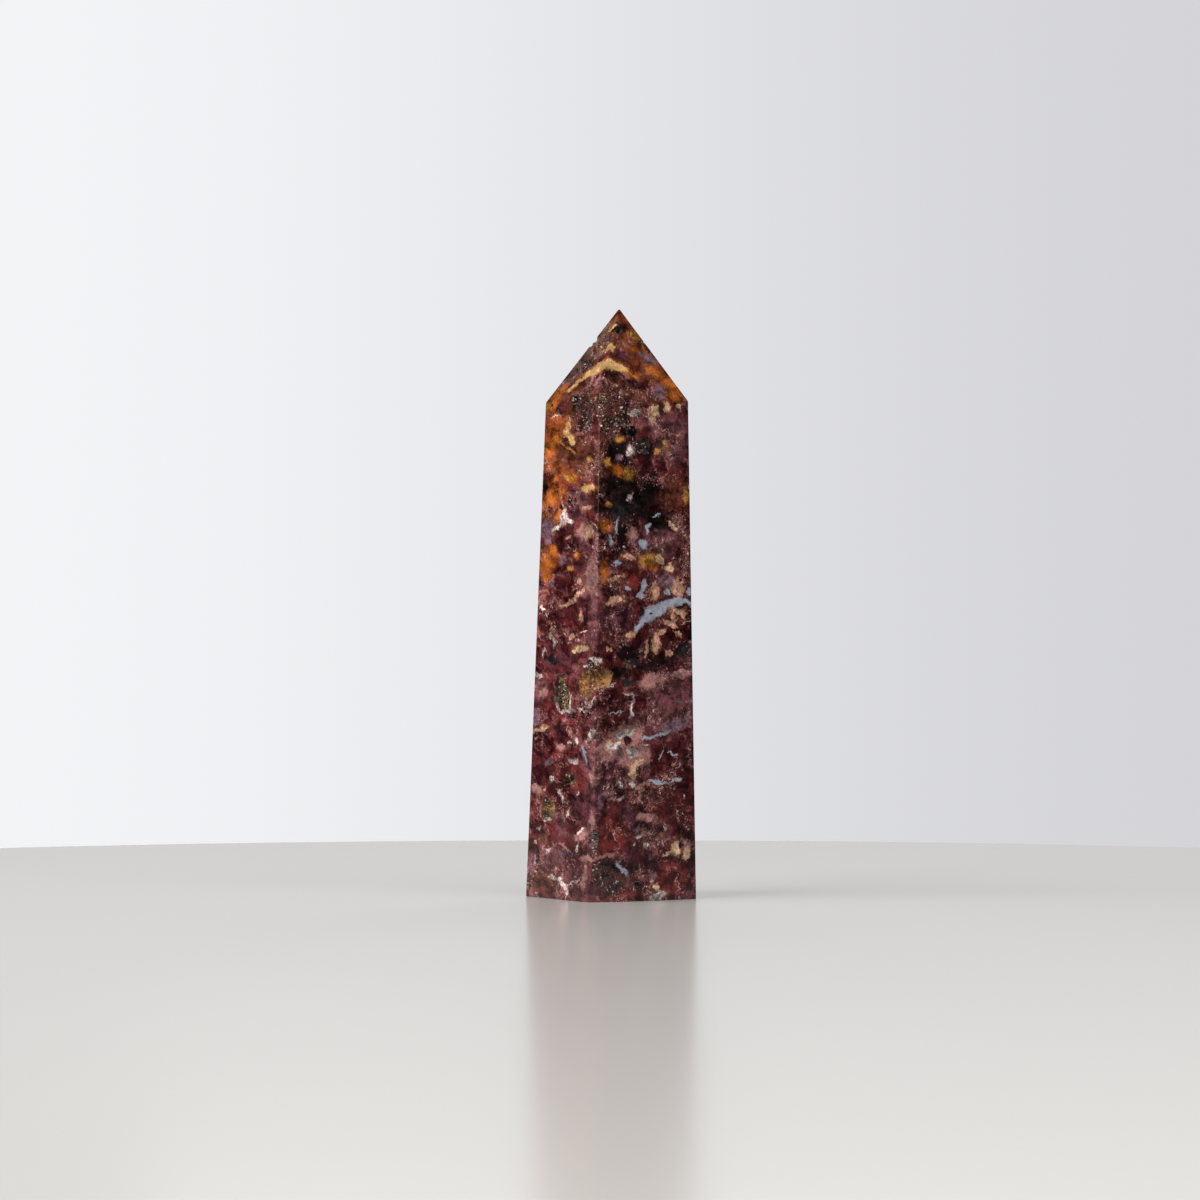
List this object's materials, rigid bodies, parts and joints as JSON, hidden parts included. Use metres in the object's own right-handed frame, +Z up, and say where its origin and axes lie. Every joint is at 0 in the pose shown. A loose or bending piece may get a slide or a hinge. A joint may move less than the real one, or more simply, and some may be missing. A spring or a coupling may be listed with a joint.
{
  "type": "polished stone tower",
  "caption": "Polished four-sided tower of lace agate with a pyramid point, crystal-lined hollows and a flat base it stands on.",
  "frame": {"origin": "middle of the flat base, on the surface that the tower stands on", "axes": "+Z up along the tower, front face towards -Y, left face towards -X"},
  "size_m": [0.0184, 0.0196, 0.0896],
  "materials": {
    "agate": "polished faces with a glassy gloss, rough crystal-lined hollows"
  },
  "bodies": {
    "root": {"agate_tower": "agate"}
  },
  "joints": []
}
